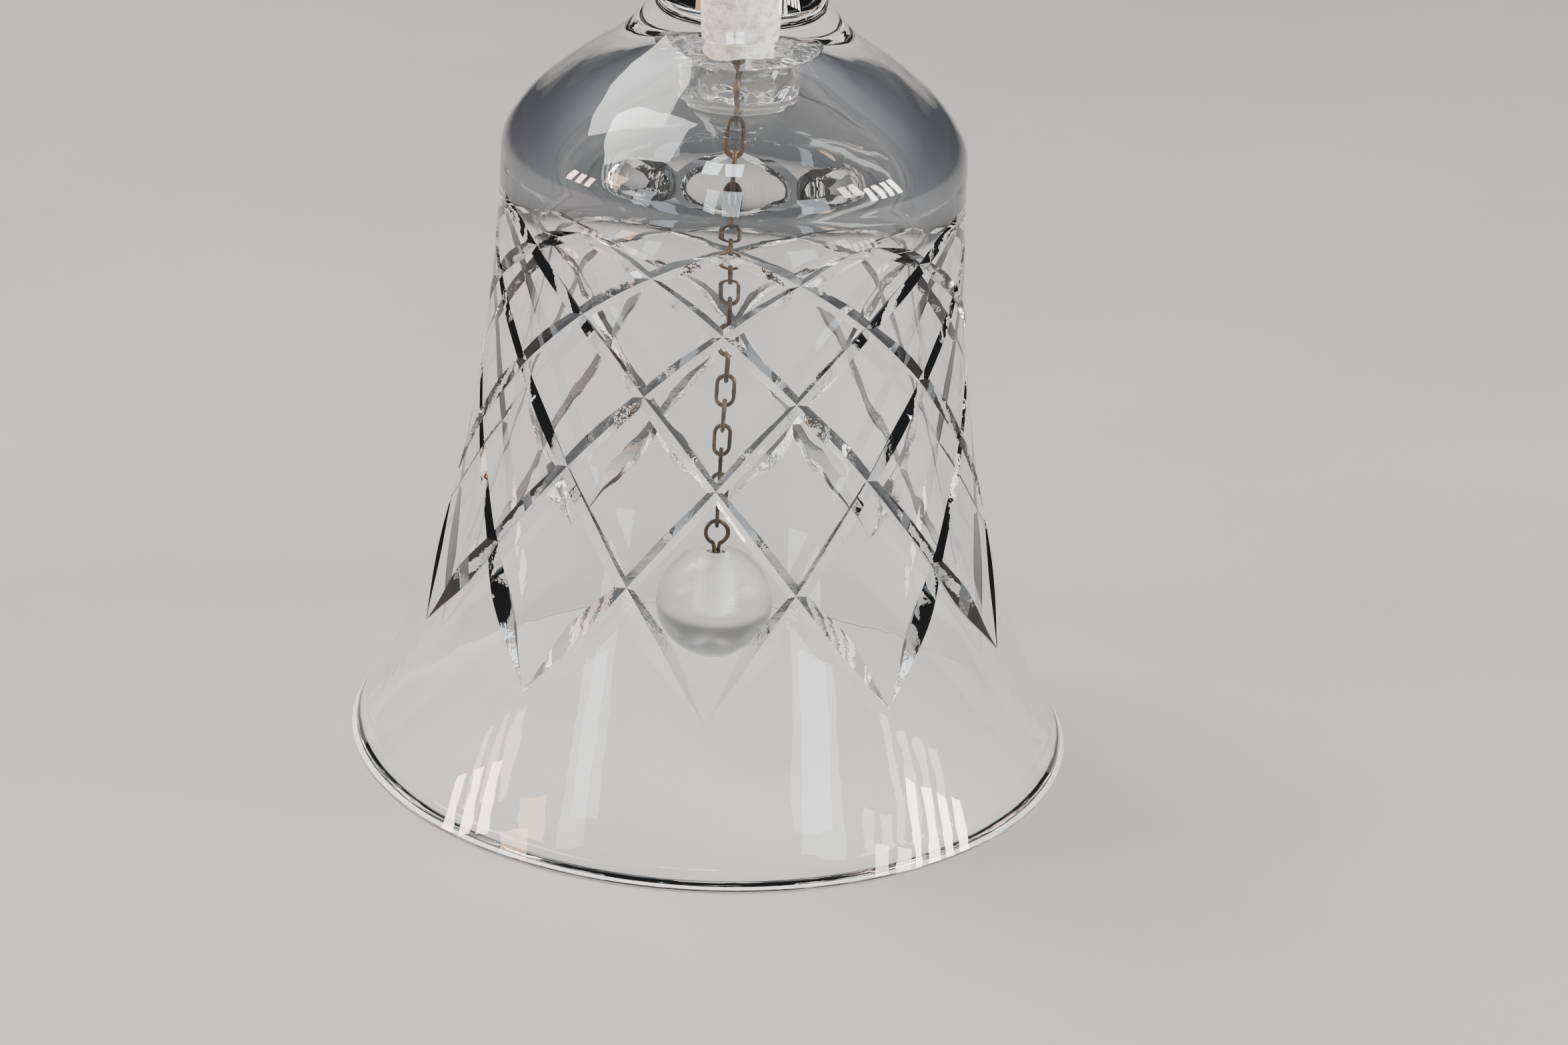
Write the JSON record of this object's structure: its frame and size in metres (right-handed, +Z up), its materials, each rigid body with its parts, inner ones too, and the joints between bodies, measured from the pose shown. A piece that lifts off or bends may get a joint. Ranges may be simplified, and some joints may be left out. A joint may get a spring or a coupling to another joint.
{
  "type": "hand bell",
  "caption": "Clear cut-glass hand bell with a solid faceted grip, a flared mouth and a glass ball clapper hanging inside on a fine metal chain.",
  "frame": {"origin": "centre of the rim, on the plane that the rim stands on", "axes": "+Z up along the axis of the bell, from the rim towards the grip; the first chain link lies in the XZ plane"},
  "size_m": [0.076, 0.076, 0.138],
  "materials": {
    "crystal": "clear polished lead crystal",
    "cement": "white frosted cement in a ground hole",
    "resin": "clear glossy adhesive",
    "chain_brass": "tarnished brown brass wire"
  },
  "bodies": {
    "bell": {"glass_bell": "crystal", "bore_cement": "cement", "resin_dome": "resin", "hanger_eye": "chain_brass"},
    "link_01": {"chain_link_01": "chain_brass"},
    "link_02": {"chain_link_02": "chain_brass"},
    "link_03": {"chain_link_03": "chain_brass"},
    "link_04": {"chain_link_04": "chain_brass"},
    "link_05": {"chain_link_05": "chain_brass"},
    "link_06": {"chain_link_06": "chain_brass"},
    "link_07": {"chain_link_07": "chain_brass"},
    "link_08": {"chain_link_08": "chain_brass"},
    "link_09": {"chain_link_09": "chain_brass"},
    "link_10": {"chain_link_10": "chain_brass"},
    "link_11": {"chain_link_11": "chain_brass"},
    "link_12": {"chain_link_12": "chain_brass"},
    "link_13": {"chain_link_13": "chain_brass"},
    "link_14": {"chain_link_14": "chain_brass"},
    "link_15": {"chain_link_15": "chain_brass"},
    "link_16": {"chain_link_16": "chain_brass"},
    "clapper": {"clapper_eye": "chain_brass", "clapper_cement": "cement", "clapper_ball": "crystal"}
  },
  "joints": [
    {"name": "link_01_swing", "type": "hinge", "parent": "bell", "child": "link_01", "pos_m": [0, 0, 0.06603], "axis": [0, 1, 0], "range_deg": [-22, 22]},
    {"name": "link_02_swing", "type": "hinge", "parent": "link_01", "child": "link_02", "pos_m": [0, 0, 0.06338], "axis": [1, 0, 0], "range_deg": [-23, 23]},
    {"name": "link_03_swing", "type": "hinge", "parent": "link_02", "child": "link_03", "pos_m": [0, 0, 0.06075], "axis": [0, -1, 0], "range_deg": [-25, 25]},
    {"name": "link_04_swing", "type": "hinge", "parent": "link_03", "child": "link_04", "pos_m": [0, 0, 0.0581], "axis": [-1, 0, 0], "range_deg": [-26, 26]},
    {"name": "link_05_swing", "type": "hinge", "parent": "link_04", "child": "link_05", "pos_m": [0, 0, 0.05547], "axis": [0, 1, 0], "range_deg": [-28, 28]},
    {"name": "link_06_swing", "type": "hinge", "parent": "link_05", "child": "link_06", "pos_m": [0, 0, 0.05282], "axis": [1, 0, 0], "range_deg": [-30, 30]},
    {"name": "link_07_swing", "type": "hinge", "parent": "link_06", "child": "link_07", "pos_m": [0, 0, 0.05019], "axis": [0, -1, 0], "range_deg": [-32, 32]},
    {"name": "link_08_swing", "type": "hinge", "parent": "link_07", "child": "link_08", "pos_m": [0, 0, 0.04754], "axis": [-1, 0, 0], "range_deg": [-35, 35]},
    {"name": "link_09_swing", "type": "hinge", "parent": "link_08", "child": "link_09", "pos_m": [0, 0, 0.04491], "axis": [0, 1, 0], "range_deg": [-39, 39]},
    {"name": "link_10_swing", "type": "hinge", "parent": "link_09", "child": "link_10", "pos_m": [0, 0, 0.04226], "axis": [1, 0, 0], "range_deg": [-43, 43]},
    {"name": "link_11_swing", "type": "hinge", "parent": "link_10", "child": "link_11", "pos_m": [0, 0, 0.03963], "axis": [0, -1, 0], "range_deg": [-48, 48]},
    {"name": "link_12_swing", "type": "hinge", "parent": "link_11", "child": "link_12", "pos_m": [0, 0, 0.03698], "axis": [-1, 0, 0], "range_deg": [-55, 55]},
    {"name": "link_13_swing", "type": "hinge", "parent": "link_12", "child": "link_13", "pos_m": [0, 0, 0.03435], "axis": [0, 1, 0], "range_deg": [-60, 60]},
    {"name": "link_14_swing", "type": "hinge", "parent": "link_13", "child": "link_14", "pos_m": [0, 0, 0.0317], "axis": [1, 0, 0], "range_deg": [-60, 60]},
    {"name": "link_15_swing", "type": "hinge", "parent": "link_14", "child": "link_15", "pos_m": [0, 0, 0.02907], "axis": [0, -1, 0], "range_deg": [-60, 60]},
    {"name": "link_16_swing", "type": "hinge", "parent": "link_15", "child": "link_16", "pos_m": [0, 0, 0.02643], "axis": [-1, 0, 0], "range_deg": [-60, 60]},
    {"name": "clapper_swing", "type": "hinge", "parent": "link_16", "child": "clapper", "pos_m": [0, 0, 0.02379], "axis": [0, 1, 0], "range_deg": [-60, 60]}
  ]
}
